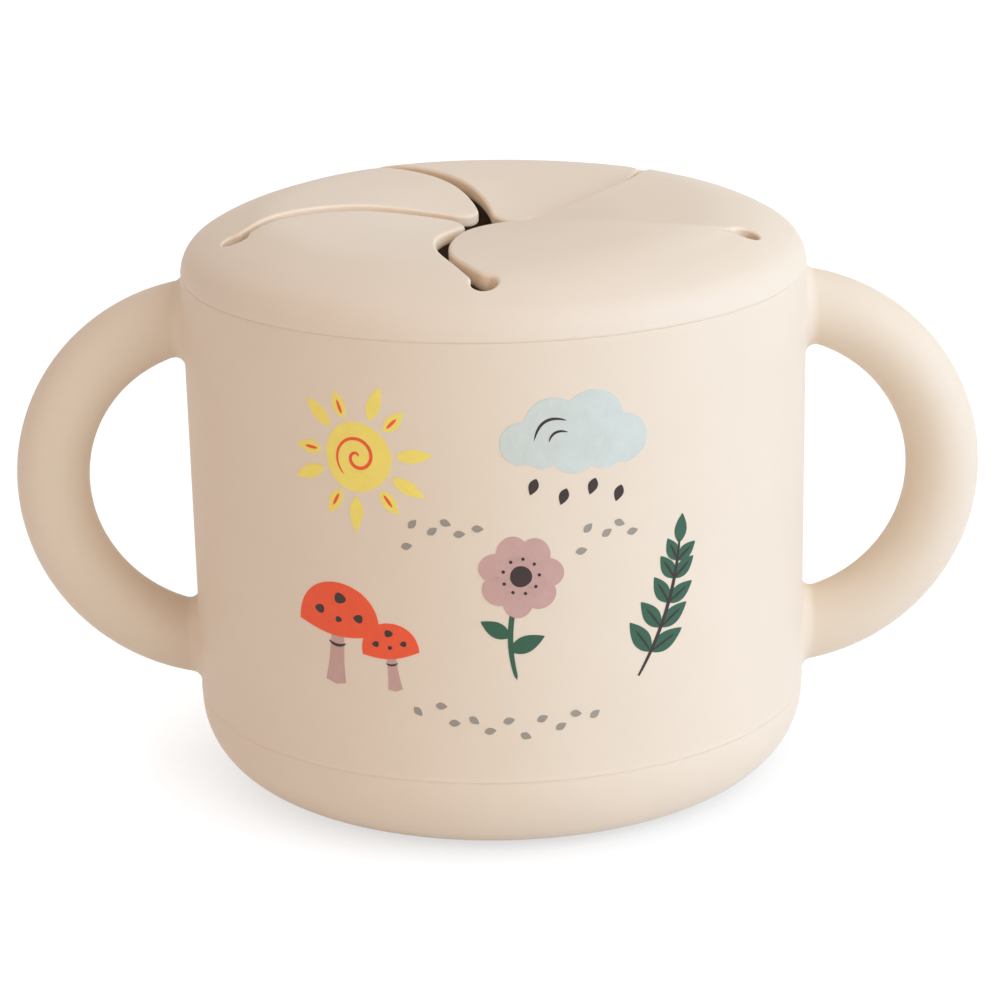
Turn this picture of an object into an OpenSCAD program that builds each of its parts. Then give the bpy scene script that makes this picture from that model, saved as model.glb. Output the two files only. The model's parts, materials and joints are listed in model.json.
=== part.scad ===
// Toddler snack cup: a round soft cup with two ring handles and a soft lid that is
// cut into five swirling flaps.
// +X runs through the handles, -Y is the front, +Z is up.
// The origin is the middle of the flat foot. All sizes are millimetres.

/* [Cup] */
// Outside diameter at the seam between cup and lid
cup_d = 90; // [76:1:110]
// Height of the seam above the table
seam_h = 75; // [72:0.5:100]
// How much narrower the wall's outside is at the base, on each side
draft_w = 0.4; // [0:0.1:1.5]
// Thickness of the cup's wall
wall_t = 3.6; // [3.2:0.1:4.2]
// Thickness of the cup's floor
floor_t = 4; // [2.5:0.1:6]
// Height of the ring line where the base meets the wall
base_h = 12.2; // [12:0.1:16]
// Radius of the rounded lower corner
corner_r = 11.4; // [8:0.1:12]
// Depth of the shallow recess under the floor
recess_h = 0.8; // [0.4:0.1:1.5]
// Width of the flat ring that the cup stands on
foot_w = 5; // [3:0.5:10]

/* [Mouth] */
// Height of the locating lip above the seam
lip_h = 2.8; // [1.5:0.1:3.2]
// Clearance between the cup's mouth and lip and the lid
fit_gap = 0.1; // [0.05:0.01:0.25]

/* [Handles] */
// How far the middle of each handle's ring lies inside the cup's outer edge
ring_in = 4.8; // [0:0.1:8]
// Distance from the seam down to the middle of each handle's ring
ring_drop = 31.6; // [31:0.1:36]
// Radius of the ring, to the middle of the tube
ring_r = 25; // [20:0.1:25.5]
// Diameter of the handle's tube
tube_d = 10.6; // [8:0.1:12]

/* [Lid] */
// Height of the lid above the seam, at its highest ring
lid_h = 7.9; // [7:0.1:9]
// Distance from the lid's edge to its highest ring
shoulder_w = 14.2; // [12:0.1:16]
// Angle at which the tight edge curve passes into the shoulder curve
edge_turn = 58; // [54:1:64]
// How far the middle of the lid sags below its highest ring
sag_h = 2.7; // [1:0.1:3.5]
// Thickness of the lid's top and its flaps
lid_t = 2.6; // [2:0.1:3]
// Thickness of the lid's skirt outside the lip
skirt_t = 1.6; // [1.2:0.1:1.8]
// Thickness of the ring that plugs the cup's mouth
plug_t = 1.6; // [1.2:0.1:2]
// Depth of the plug ring below the seam
plug_h = 6; // [3:0.5:10]

/* [Flaps] */
// Distance from the lid's edge to the middle of each relief hole
hole_in = 7.3; // [6:0.1:8]
// Diameter of the relief holes at the outer ends of the slits
hole_d = 3.7; // [3.4:0.1:4.4]
// How far each slit bows to the side at its middle
bow_h = 6; // [4:0.1:7]
// Width of the slits
slit_w = 1.8; // [1.4:0.1:2]
// Radius of the flaps' tips
tip_r = 3; // [2:0.1:4]
// Direction of the front slit, seen from above
slit_turn = -92; // [-100:1:-80]
// How far each flap's rounded root stands out past the faces of the lid's top
root_over = 0.4; // [0.2:0.1:0.6]
// Clearance between a flap's root and the lid
root_gap = 0.3; // [0.3:0.05:0.5]

/* [Hidden] */
$fn = 96;
cup_tint = [0.87, 0.78, 0.69];
lid_tint = [0.88, 0.80, 0.72];
far = 200; // longer than the whole object, for cutting blocks
over = 1;  // how far a cutting block passes the face that it opens

cup_r = cup_d / 2;
waist_r = cup_r - draft_w;
mouth_r = cup_r - wall_t;
bowl_r = waist_r - wall_t;
foot_r = waist_r - corner_r;
ring_x = cup_r - ring_in;
ring_z = seam_h - ring_drop;

// The lid's outline: an edge arc, a shoulder arc tangent to it, and a shallow arc
// that sags towards the axis. Their centres and radii follow from four sizes.
top_z = seam_h + lid_h;
arc_step = (shoulder_w - lid_h) / (cos(edge_turn) + sin(edge_turn) - 1);
edge_r = lid_h - arc_step * (1 - sin(edge_turn));
shoulder_r = edge_r + arc_step;
edge_x = cup_r - edge_r;
crest_x = cup_r - shoulder_w;
dish_r = (crest_x * crest_x + sag_h * sag_h) / (2 * sag_h);

// The cup's lip fills the inside of the edge arc, less the skirt and the clearance.
lip_r = edge_r - skirt_t - fit_gap;
lip_out = edge_x + lip_r;
plug_out = mouth_r - fit_gap;
plug_in = plug_out - plug_t;
plug_z = seam_h - plug_h;

// Each slit is an arc from the axis to its relief hole.
flap_n = 5;
slit_pitch = 360 / flap_n;
half_slit = slit_w / 2;
hole_r = hole_d / 2;
hole_x = cup_r - hole_in;
slit_r = (hole_x * hole_x / 4 + bow_h * bow_h) / (2 * bow_h);
in_r = slit_r - half_slit;
out_r = slit_r + half_slit;
// Middle of the slit's circle, for the slit along +X, which bows to -Y, and the next one
arc_mid = [hole_x / 2, slit_r - bow_h];
next_mid = turned(arc_mid, slit_pitch);

// The hinge line joins two neighbouring relief holes, half way up the lid's top.
hinge_x = hole_x * cos(slit_pitch / 2);
hinge_half = hole_x * sin(slit_pitch / 2);
hinge_high = plate_z(hinge_x, 0);
hinge_low = plate_z(hole_x, lid_t);
hinge_z = (hinge_high + hinge_low) / 2;
root_r = (hinge_high - hinge_low) / 2 + root_over;

// The tip's circle touches both slit edges from inside the flap.
tip_c = meet(arc_mid, in_r - tip_r, next_mid, out_r + tip_r);
tip_a = arc_mid + in_r * unit(tip_c - arc_mid);
tip_b = next_mid + out_r * unit(tip_c - next_mid);

function turned(p, a) = [p.x * cos(a) - p.y * sin(a), p.x * sin(a) + p.y * cos(a)];
function unit(p) = p / norm(p);
// Height of the lid's shoulder at radius x, lowered along its normal by d
function plate_z(x, d) =
    top_z - shoulder_r + sqrt(pow(shoulder_r - d, 2) - pow(max(x - crest_x, 0), 2));
// The crossing of two circles that lies nearer to the axis
function meet(a, ra, b, rb) =
    let (gap = norm(b - a), e = unit(b - a))
    let (along = (gap * gap + ra * ra - rb * rb) / (2 * gap), side = sqrt(ra * ra - along * along))
    let (p = a + along * e + side * [-e.y, e.x], q = a + along * e - side * [-e.y, e.x])
    norm(p) < norm(q) ? p : q;

// A block in the plane, from its lower left corner to its upper right corner
module block(a, b) {
    translate(a) square(b - a);
}

// What a circle of radius r about c leaves of a block
module block_less_circle(a, b, c, r, sides) {
    difference() {
        block(a, b);
        translate(c) circle(r = r, $fn = sides);
    }
}

// Half section of all that lies above the lid's surface, lowered by d
module above_lid(d) {
    turn_x = crest_x + (shoulder_r - d) * cos(edge_turn);
    block_less_circle([-over, seam_h], [crest_x, far], [crest_x, top_z - dish_r], dish_r - d, 360);
    block_less_circle([crest_x, seam_h], [turn_x, far], [crest_x, top_z - shoulder_r], shoulder_r - d, 96);
    block_less_circle([turn_x, seam_h], [far, far], [edge_x, seam_h], edge_r - d, 96);
}

// Half section of the cup's outer solid, with its lip
module cup_outer_section() {
    difference() {
        polygon([
            [0, 0], [0, seam_h + lip_h], [lip_out, seam_h + lip_h], [lip_out, seam_h],
            [cup_r, seam_h], [waist_r, base_h], [waist_r, 0]
        ]);
        block_less_circle([edge_x, seam_h], [cup_r, far], [edge_x, seam_h], lip_r, 96);
        block_less_circle([foot_r, -over], [cup_r, corner_r], [foot_r, corner_r], corner_r, 96);
    }
}

// Half section of the cup's hollow
module bowl_section() {
    turn_r = corner_r - wall_t;
    flat_r = bowl_r - turn_r;
    low = floor_t + turn_r;
    difference() {
        polygon([
            [-over, floor_t], [-over, far], [mouth_r, far], [mouth_r, seam_h],
            [bowl_r, low], [bowl_r, floor_t]
        ]);
        block_less_circle([flat_r, 0], [cup_r, low], [flat_r, low], turn_r, 96);
    }
}

module cup_body() {
    color(cup_tint) rotate_extrude() difference() {
        cup_outer_section();
        bowl_section();
        block([-over, -over], [far, base_h]);
    }
}

module cup_base() {
    color(cup_tint) rotate_extrude() difference() {
        cup_outer_section();
        bowl_section();
        block([-over, base_h], [far, far]);
        block([-over, -over], [foot_r - foot_w, recess_h]);
    }
}

// One ring handle, cut off where it meets the cup's wall
module handle() {
    difference() {
        translate([ring_x, 0, ring_z]) rotate([90, 0, 0])
            rotate_extrude() translate([ring_r, 0]) circle(d = tube_d);
        rotate_extrude() cup_outer_section();
        translate([-far, -far / 2, -far / 2]) cube([far, far, far]);
    }
}

module handle_right() {
    color(cup_tint) handle();
}

module handle_left() {
    color(cup_tint) mirror([1, 0, 0]) handle();
}

// The lid's top as a shell of revolution, lid_t thick
module lid_plate() {
    rotate_extrude() difference() {
        block([0, seam_h], [cup_r, far]);
        above_lid(0);
        difference() {
            block([-over, seam_h - over], [far, far]);
            above_lid(lid_t);
        }
    }
}

// Half section of the lid with its plug ring and the channel for the cup's lip
module lid_section() {
    plug_mid = [(plug_in + plug_out) / 2, plug_z + plug_t / 2];
    difference() {
        polygon([
            [0, plug_z], [plug_out, plug_z], [plug_out, seam_h], [cup_r, seam_h],
            [cup_r, top_z + over], [0, top_z + over]
        ]);
        above_lid(0);
        difference() {
            block([-over, plug_z - over], [plug_in, far]);
            above_lid(lid_t);
        }
        // The lip's channel, wider than the lip by the clearance all round
        intersection() {
            translate([edge_x, seam_h]) circle(r = lip_r + fit_gap);
            block([mouth_r - fit_gap, seam_h - over], [cup_r, seam_h + lip_h + fit_gap]);
        }
        block_less_circle([plug_in - over, plug_z - over], [cup_r, plug_mid.y], plug_mid, plug_t / 2, 48);
    }
}

// A bar along the hinge line of the flap between the slits at 0 and slit_pitch
module hinge_bar(r, half_l) {
    rotate(slit_pitch / 2) translate([hinge_x, 0, hinge_z]) rotate([90, 0, 0])
        cylinder(r = r, h = 2 * half_l, center = true);
}

// Plan of everything on the axis side of that flap's hinge line
module inside_hinge() {
    rotate(slit_pitch / 2) translate([hinge_x - far, -far / 2]) square([far, far]);
}

// Plan of that flap, without an end at its root
module flap_plan() {
    difference() {
        translate(arc_mid) circle(r = in_r, $fn = 180);
        translate(next_mid) circle(r = out_r, $fn = 180);
        translate(tip_a) rotate(atan2(tip_b.y - tip_a.y, tip_b.x - tip_a.x))
            translate([-far / 2, 0]) square([far, far]);
    }
    translate(tip_c) circle(r = tip_r);
}

module relief_holes() {
    for (k = [0 : flap_n - 1]) rotate(slit_turn + k * slit_pitch)
        translate([hole_x, 0, plate_z(hole_x + hole_r, lid_t)]) cylinder(r = hole_r, h = far);
}

// The flap that lies counter-clockwise of slit number k
module flap(k) {
    color(lid_tint) difference() {
        intersection() {
            lid_plate();
            rotate(slit_turn + k * slit_pitch) union() {
                linear_extrude(far) intersection() {
                    flap_plan();
                    inside_hinge();
                }
                // The root, kept clear of the neighbouring flap by the slit between them
                difference() {
                    hinge_bar(root_r, hinge_half - hole_r);
                    translate(next_mid) cylinder(r = out_r, h = far, $fn = 180);
                }
            }
        }
        relief_holes();
    }
}

module lid_rim() {
    color(lid_tint) difference() {
        rotate_extrude() lid_section();
        linear_extrude(far) intersection_for(k = [0 : flap_n - 1])
            rotate(slit_turn + k * slit_pitch) inside_hinge();
        for (k = [0 : flap_n - 1]) rotate(slit_turn + k * slit_pitch)
            hinge_bar(root_r + root_gap, hinge_half);
        relief_holes();
    }
}

module flap_front_right() { flap(0); }
module flap_back_right() { flap(1); }
module flap_back() { flap(2); }
module flap_back_left() { flap(3); }
module flap_front_left() { flap(4); }

cup_body();
cup_base();
handle_left();
handle_right();
lid_rim();
flap_front_right();
flap_back_right();
flap_back();
flap_back_left();
flap_front_left();
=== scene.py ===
"""Looks of the toddler snack cup: its soft silicone, its printed motifs and the studio.

The CAD frame carries the joints. Each CAD node is replaced by a finer skin of the same
size, worked out with numpy as a grid of points. Lengths here are millimetres until a
mesh is made. +X runs through the handles, -Y is the front and +Z is up.
"""

import json
import logging
import math
from dataclasses import dataclass, field
from enum import Enum
from typing import Any, Iterable, Sequence

import bpy
import numpy as np
from mathutils import Matrix, Vector


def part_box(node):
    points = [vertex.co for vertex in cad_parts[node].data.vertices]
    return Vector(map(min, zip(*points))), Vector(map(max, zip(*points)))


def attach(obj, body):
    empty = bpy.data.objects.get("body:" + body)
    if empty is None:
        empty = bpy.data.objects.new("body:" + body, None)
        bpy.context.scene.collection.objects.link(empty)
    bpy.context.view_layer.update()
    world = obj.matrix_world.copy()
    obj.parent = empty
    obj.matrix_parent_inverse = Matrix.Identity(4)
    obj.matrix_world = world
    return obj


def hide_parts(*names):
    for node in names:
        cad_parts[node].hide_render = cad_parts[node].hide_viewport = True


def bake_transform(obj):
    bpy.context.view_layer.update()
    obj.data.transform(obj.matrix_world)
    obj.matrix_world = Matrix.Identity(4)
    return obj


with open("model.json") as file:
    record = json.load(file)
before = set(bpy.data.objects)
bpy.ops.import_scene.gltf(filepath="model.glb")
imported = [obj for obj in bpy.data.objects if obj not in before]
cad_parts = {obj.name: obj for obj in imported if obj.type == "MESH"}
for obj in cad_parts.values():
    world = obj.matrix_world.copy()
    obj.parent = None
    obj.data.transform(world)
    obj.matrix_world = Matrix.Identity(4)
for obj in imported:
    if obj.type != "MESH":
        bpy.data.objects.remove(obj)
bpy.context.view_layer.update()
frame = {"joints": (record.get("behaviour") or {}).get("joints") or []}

Points = np.ndarray  # rows of points, the last axis being x, y(, z)

MM = 0.001
EDGE_LAYER = "slit_edge"
SAME_POINT = 1e-7  # points that round to the same step of this size, in metres, are merged
FREE_RINGS = 9  # rows that make the rounding of a free edge
RING_DRIFT = 0.15  # how far the last of those rows has moved off the root circle
ROOT_BETWEEN = (40, 100)  # degrees round a handle between which it meets the wall
HALVINGS = 40
TOP_RINGS = 36  # rings from a flap's edge to its heart, above
LOW_RINGS = 16  # and below
BEZIER_PULL = 0.5523  # makes a cubic Bezier near a quarter of a circle
POLE_SHIFT = np.array([0.985, 0, 1])  # from the middle of a handle's end to its closing pole
LOG = logging.getLogger("snack_cup")


# ---------------------------------------------------------------- plane curves


def arc(middle: Sequence[float], radius: float, start: float, stop: float, count: int) -> Points:
    """Points on a circle between two angles in degrees: middle + radius (cos a, sin a).

    Args:
        middle: The circle's middle.
        radius: Its radius.
        start: The first angle.
        stop: The last angle, above or below the first.
        count: How many points.

    Returns:
        An array of count points.
    """
    turn = np.radians(np.linspace(start, stop, count))
    return np.column_stack((middle[0] + radius * np.cos(turn), middle[1] + radius * np.sin(turn)))


def straight(first: Sequence[float], last: Sequence[float], count: int) -> Points:
    """Points at equal steps on a straight line.

    Args:
        first: The line's first point.
        last: Its last point.
        count: How many points.

    Returns:
        An array of count points.
    """
    return np.linspace(np.asarray(first, float), np.asarray(last, float), count)


def softened(before: Sequence[float], corner: Sequence[float], after: Sequence[float],
             reach: float, reach_on: float | None = None, count: int = 7) -> Points:
    """A rounded corner: a parabola (1-s)^2 a + 2 s (1-s) corner + s^2 b.

    Args:
        before: A point on the side that leads to the corner.
        corner: The corner that is rounded off.
        after: A point on the side that leaves it.
        reach: How far before the corner the rounding starts.
        reach_on: How far after the corner it ends, the same as reach unless it is given.
        count: How many points.

    Returns:
        The points of the rounding, from a on the first side to b on the second.
    """
    corner_point = np.asarray(corner, float)
    sides = [np.asarray(p, float) - corner_point for p in (before, after)]
    reaches = (reach, reach if reach_on is None else reach_on)
    a, b = (corner_point + far * side / np.linalg.norm(side) for far, side in zip(reaches, sides))
    s = np.linspace(0, 1, count)[:, None]
    return (1 - s) ** 2 * a + 2 * s * (1 - s) * corner_point + s**2 * b


def crossing(a: Points, radius_a: float, b: Points, radius_b: float,
             near: Sequence[float]) -> Points:
    """Where two circles cross, from the triangle of their middles and radii.

    Args:
        a: Middle of the first circle.
        radius_a: Its radius.
        b: Middle of the second circle.
        radius_b: Its radius.
        near: Of the two crossings, the one nearer to this point is wanted.

    Returns:
        The crossing as a point.
    """
    gap = np.linalg.norm(b - a)
    unit = (b - a) / gap
    along = (gap**2 + radius_a**2 - radius_b**2) / (2 * gap)
    side = math.sqrt(max(radius_a**2 - along**2, 0.0)) * np.array([-unit[1], unit[0]])
    found = (a + along * unit + side, a + along * unit - side)
    return min(found, key=lambda p: float(np.linalg.norm(p - np.asarray(near))))


def bearing(middle: Points, point: Points) -> float:
    """The angle of the line from a middle to a point, in degrees."""
    return math.degrees(math.atan2(point[1] - middle[1], point[0] - middle[0]))


def smooth_step(x: Points) -> Points:
    """3 x^2 - 2 x^3 with x held between 0 and 1."""
    t = np.clip(x, 0, 1)
    return t * t * (3 - 2 * t)


def turned(points: Points | Sequence[float], degrees: float) -> Points:
    """Points turned about the Z axis: (x cos a - y sin a, x sin a + y cos a), with any z kept.

    Args:
        points: One point or many, the last axis being x, y(, z).
        degrees: The angle a.

    Returns:
        The turned points.
    """
    a = math.radians(degrees)
    out = np.array(points, float)
    x, y = out[..., 0].copy(), out[..., 1].copy()
    out[..., 0] = x * math.cos(a) - y * math.sin(a)
    out[..., 1] = x * math.sin(a) + y * math.cos(a)
    return out


def direction(degrees: float) -> Points:
    """The unit vector (cos a, sin a)."""
    return turned((1.0, 0.0), degrees)


# ---------------------------------------------------------------------- meshes


def grid_faces(index: np.ndarray) -> tuple[np.ndarray, np.ndarray]:
    """Faces of a grid whose columns close into a ring.

    Cell (i, j) joins points (i, j), (i, j+1), (i+1, j+1) and (i+1, j). A cell with two equal
    neighbours becomes a triangle, and one with less than three points is left out.

    Args:
        index: The number of each grid point, equal where points coincide.

    Returns:
        The quads and the triangles, as rows of point numbers.
    """
    beside = np.roll(index, -1, axis=1)
    quads = np.stack((index[:-1], beside[:-1], beside[1:], index[1:]), axis=-1).reshape(-1, 4)
    same = quads == np.roll(quads, -1, axis=1)
    crossed = (quads[:, 0] == quads[:, 2]) | (quads[:, 1] == quads[:, 3])
    full = quads[(same.sum(1) == 0) & ~crossed]
    narrow = (same.sum(1) == 1) & ~crossed
    kept = quads[narrow][~same[narrow]].reshape(-1, 3)
    return full, kept


def placed(name: str, content: bpy.types.ID) -> bpy.types.Object:
    """A new object in the scene.

    Args:
        name: The object's name.
        content: The mesh, lamp or camera that it shows.

    Returns:
        The object, at the origin.
    """
    made = bpy.data.objects.new(name, content)
    bpy.context.scene.collection.objects.link(made)
    return made


@dataclass
class Skin:
    """A piece's mesh in the making: several closed grids, each with one finish."""

    name: str
    patches: list[tuple[Points, int, Points]] = field(default_factory=list)

    def add(self, rows: Points, finish: int = 0, edge: Points | float = 0.0) -> "Skin":
        """Add a closed grid.

        Args:
            rows: Points in millimetres, shaped rows x columns x 3. Columns close into a ring,
                and the first and last rows are poles or meet each other.
            finish: Number of the finish in the list that build is given.
            edge: For each point, 1 on the wall of a slit and 0 away from it; it marks where the
                finish paints the slits' glow.

        Returns:
            The skin itself.
        """
        grid = np.asarray(rows, float)
        self.patches.append((grid, finish, np.broadcast_to(edge, grid.shape[:2])))
        return self

    def build(self, finishes: Sequence[bpy.types.Material],
              sharp: float = 50.0) -> bpy.types.Object:
        """Make the mesh, with points that coincide merged and smooth shading between creases.

        Args:
            finishes: The materials that the patches' numbers name.
            sharp: Edges that turn by more than this many degrees stay crisp.

        Returns:
            The finished object, at the origin.
        """
        points: list[np.ndarray] = []
        quads: list[np.ndarray] = []
        triangles: list[np.ndarray] = []
        quad_finish: list[np.ndarray] = []
        triangle_finish: list[np.ndarray] = []
        edges: list[np.ndarray] = []
        first = 0
        for rows, finish, edge in self.patches:
            flat = rows.reshape(-1, 3) * MM
            _, kept, number = np.unique(
                np.round(flat / SAME_POINT).astype(np.int64), axis=0,
                return_index=True, return_inverse=True)
            full, narrow = grid_faces(number.reshape(rows.shape[:2]))
            points.append(flat[kept])
            edges.append(edge.reshape(-1)[kept])
            quads.append(full + first)
            triangles.append(narrow + first)
            quad_finish.append(np.full(len(full), finish, np.int32))
            triangle_finish.append(np.full(len(narrow), finish, np.int32))
            first += len(kept)
        mesh = bpy.data.meshes.new(self.name)
        faces = np.concatenate(quads).tolist() + np.concatenate(triangles).tolist()
        mesh.from_pydata(np.concatenate(points).tolist(), [], faces)
        for material in finishes:
            mesh.materials.append(material)
        layer = mesh.attributes.new(EDGE_LAYER, "FLOAT", "POINT")
        layer.data.foreach_set("value", np.concatenate(edges).astype(np.float32))
        chosen = np.concatenate(quad_finish + triangle_finish)
        mesh.polygons.foreach_set("material_index", chosen)
        mesh.polygons.foreach_set("use_smooth", np.ones(len(faces), bool))
        mesh.set_sharp_from_angle(angle=math.radians(sharp))
        mesh.validate()
        mesh.update()
        return placed(self.name, mesh)


def lathed(profile: Points, columns: int) -> Points:
    """Turn a profile about the axis: (r, z) becomes (r cos a, r sin a, z) for equal steps of a.

    Args:
        profile: Points (r, z), counter-clockwise in the half plane.
        columns: How many steps make the full turn.

    Returns:
        The grid of points, one row for each point of the profile.
    """
    a = np.linspace(0, 2 * math.pi, columns, endpoint=False)
    r, z = profile[:, :1], profile[:, 1:]
    return np.stack((r * np.cos(a), r * np.sin(a), z + 0 * a), axis=-1)


# --------------------------------------------------------------------- shaders


@dataclass(frozen=True)
class Value:
    """A number in a shader: an operator on it adds a Math node to its tree."""

    tree: "Shader"
    socket: bpy.types.NodeSocket

    def _math(self, operation: str, *terms: Any) -> "Value":
        """Join terms by one Math node."""
        node = self.tree.node("ShaderNodeMath", {"operation": operation},
                              {i: term for i, term in enumerate(terms)})
        return Value(self.tree, node.outputs[0])

    def __add__(self, other: Any) -> "Value":
        """self + other."""
        return self._math("ADD", self, other)

    def __radd__(self, other: Any) -> "Value":
        """other + self."""
        return self._math("ADD", other, self)

    def __sub__(self, other: Any) -> "Value":
        """self - other."""
        return self._math("SUBTRACT", self, other)

    def __rsub__(self, other: Any) -> "Value":
        """other - self."""
        return self._math("SUBTRACT", other, self)

    def __mul__(self, other: Any) -> "Value":
        """self * other."""
        return self._math("MULTIPLY", self, other)

    def __rmul__(self, other: Any) -> "Value":
        """other * self."""
        return self._math("MULTIPLY", other, self)

    def clamped(self, low: float, high: float) -> "Value":
        """The number held between two limits."""
        return self._math("MINIMUM", self._math("MAXIMUM", self, low), high)


class Shader:
    """The node tree of a material or of the world."""

    def __init__(self, owner: bpy.types.Material | bpy.types.World) -> None:
        """Empty the owner's node tree.

        Args:
            owner: The material or world that is given its nodes.
        """
        self.owner = owner
        owner.use_nodes = True
        self.nodes, self.links = owner.node_tree.nodes, owner.node_tree.links
        self.nodes.clear()

    @classmethod
    def material(cls, name: str) -> "Shader":
        """The tree of a new material."""
        return cls(bpy.data.materials.new(name))

    def node(self, kind: str, settings: dict[str, Any] | None = None,
             inputs: dict[Any, Any] | None = None) -> bpy.types.Node:
        """Add a node.

        Args:
            kind: The node's type.
            settings: Its settings, which are set before its sockets.
            inputs: A number, a colour, a Value or a socket for each named socket.

        Returns:
            The node.
        """
        made = self.nodes.new(kind)
        for key, setting in (settings or {}).items():
            setattr(made, key, setting)
        for key, term in (inputs or {}).items():
            if isinstance(term, Value):
                self.links.new(term.socket, made.inputs[key])
            elif isinstance(term, bpy.types.NodeSocket):
                self.links.new(term, made.inputs[key])
            else:
                made.inputs[key].default_value = term
        return made

    def place(self) -> bpy.types.NodeSocket:
        """The surface's place in the object, in metres."""
        return self.node("ShaderNodeTexCoord").outputs["Object"]

    def edge(self) -> Value:
        """How near the surface is to the wall of a slit, from 0 to 1."""
        # the mask of the slits' painted glow, a painted lightening in place of light through the
        # silicone
        layer = self.node("ShaderNodeAttribute", {"attribute_name": EDGE_LAYER})
        return Value(self, layer.outputs["Fac"])

    def seen(self) -> Value:
        """Which rays see the studio as white.

        Returns:
            1 for rays from the camera, in gloss or through glass, and 0 for the rest.
        """
        rays = self.node("ShaderNodeLightPath").outputs
        camera, gloss, glass = (Value(self, rays[f"Is {kind} Ray"])
                                for kind in ("Camera", "Glossy", "Transmission"))
        return (camera + gloss + glass).clamped(0, 1)

    def noise(self, grain_mm: float, detail: float = 2.0, rough: float = 0.5) -> Value:
        """Noise between 0 and 1 with grains of the given size in millimetres."""
        made = self.node("ShaderNodeTexNoise", {"noise_dimensions": "3D"}, {
            "Vector": self.place(), "Scale": 1 / (grain_mm * MM),
            "Detail": detail, "Roughness": rough})
        return Value(self, made.outputs["Fac"])

    def blend(self, share: Any, low: Any, high: Any) -> bpy.types.NodeSocket:
        """A colour between two colours, each given as a colour or a socket."""
        mixed = self.node("ShaderNodeMix", {"data_type": "RGBA", "blend_type": "MIX"},
                          {0: share, 6: low, 7: high})
        return mixed.outputs[2]

    def finish(self, surface: bpy.types.NodeSocket,
               output: str = "ShaderNodeOutputMaterial") -> bpy.types.Material | bpy.types.World:
        """Close the tree with its output node and return its owner."""
        self.node(output, None, {"Surface": surface})
        return self.owner


def linear(red: float, green: float, blue: float) -> tuple[float, float, float, float]:
    """A colour written in display values from 0 to 255, as the shader needs it.

    Each value v/255 becomes ((v + 0.055) / 1.055) ^ 2.4, or v / 12.92 in the darks.

    Args:
        red: Red from 0 to 255.
        green: Green from 0 to 255.
        blue: Blue from 0 to 255.

    Returns:
        Red, green, blue and alpha in linear light.
    """
    v = np.array([red, green, blue], float) / 255
    out = np.where(v > 0.04045, ((v + 0.055) / 1.055) ** 2.4, v / 12.92)
    return (float(out[0]), float(out[1]), float(out[2]), 1.0)


@dataclass(frozen=True)
class SoftSilicone:
    """Matte moulded silicone: an even tone with a faint cloudiness, a satin skin and fine grain."""

    name: str
    pale: tuple[float, float, float]
    deep: tuple[float, float, float]
    # painted glow: a lighter, warmer base colour on the slits' walls that stands in for light
    # coming through the thin silicone
    painted_glow: tuple[float, float, float] = (250, 226, 200)
    roughness: float = 0.56
    grain_mm: float = 0.35
    cloud_mm: float = 17.0
    relief_mm: float = 0.012
    sheen: float = 0.12

    def material(self) -> bpy.types.Material:
        """Build the finish.

        The tone runs between the two colours with a wide noise. On the walls of the slits it turns
        to the painted glow colour, a painted lightening that stands in for light coming through the
        thin silicone. The roughness follows a middle noise, and the bump adds a fine grain to a
        faint waviness.

        Returns:
            The material.
        """
        tree = Shader.material(self.name)
        cloud = tree.noise(self.cloud_mm, 3.0, 0.55)
        grain = tree.noise(self.grain_mm, 3.0, 0.6)
        patch = tree.noise(self.cloud_mm / 5, 2.0, 0.5)
        tone = (cloud * 0.75 + patch * 0.15 + grain * 0.1).clamped(0, 1)
        rough = (self.roughness - 0.05) + patch * 0.06 + grain * 0.05
        bump = tree.node("ShaderNodeBump", None, {
            "Strength": 0.55, "Distance": self.relief_mm * MM,
            "Height": grain + patch * 0.5})
        skin_tone = tree.blend(tone, linear(*self.deep), linear(*self.pale))
        # painted glow: the slit-edge mask turns the base colour lighter and warmer on the slits'
        # walls, in place of light coming through the silicone
        skin = tree.node("ShaderNodeBsdfPrincipled", None, {
            "Base Color": tree.blend(tree.edge(), skin_tone, linear(*self.painted_glow)),
            "Roughness": rough, "IOR": 1.42, "Specular IOR Level": 0.45,
            "Sheen Weight": self.sheen, "Sheen Roughness": 0.45,
            "Normal": bump.outputs[0]})
        return tree.finish(skin.outputs[0])


@dataclass(frozen=True)
class Ink:
    """Pad-printed ink: one flat colour laid a little unevenly, slightly smoother than silicone."""

    name: str
    colour: tuple[float, float, float]
    roughness: float = 0.5
    unevenness: float = 0.06

    def material(self) -> bpy.types.Material:
        """Build the finish: a mottle of two sizes lightens and darkens the colour.

        Returns:
            The material.
        """
        tree = Shader.material(self.name)
        mottle = (tree.noise(2.2, 3.0, 0.6) * 0.6 + tree.noise(0.25, 2.0, 0.6) * 0.4).clamped(0, 1)
        thin = tuple(min(255.0, c * (1 + self.unevenness) + 2) for c in self.colour)
        thick = tuple(c * (1 - self.unevenness) for c in self.colour)
        bump = tree.node("ShaderNodeBump", None, {
            "Strength": 0.4, "Distance": 0.008 * MM, "Height": mottle})
        skin = tree.node("ShaderNodeBsdfPrincipled", None, {
            "Base Color": tree.blend(mottle, linear(*thick), linear(*thin)),
            "Roughness": self.roughness + mottle * 0.08, "Specular IOR Level": 0.4,
            "Normal": bump.outputs[0]})
        return tree.finish(skin.outputs[0])


class Inks(Enum):
    """The inks of the print."""

    SUN = Ink("ink_sun_yellow", (255, 222, 110))
    FLAME = Ink("ink_flame_orange", (240, 88, 50))
    MIST = Ink("ink_mist_blue", (204, 209, 202))
    MAUVE = Ink("ink_mauve", (198, 158, 150))
    LEAF = Ink("ink_leaf_green", (46, 88, 66))
    BARK = Ink("ink_dark_bark", (54, 38, 36))
    SEED = Ink("ink_seed_grey", (154, 145, 134))


# ------------------------------------------------------------------------ cup


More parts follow.
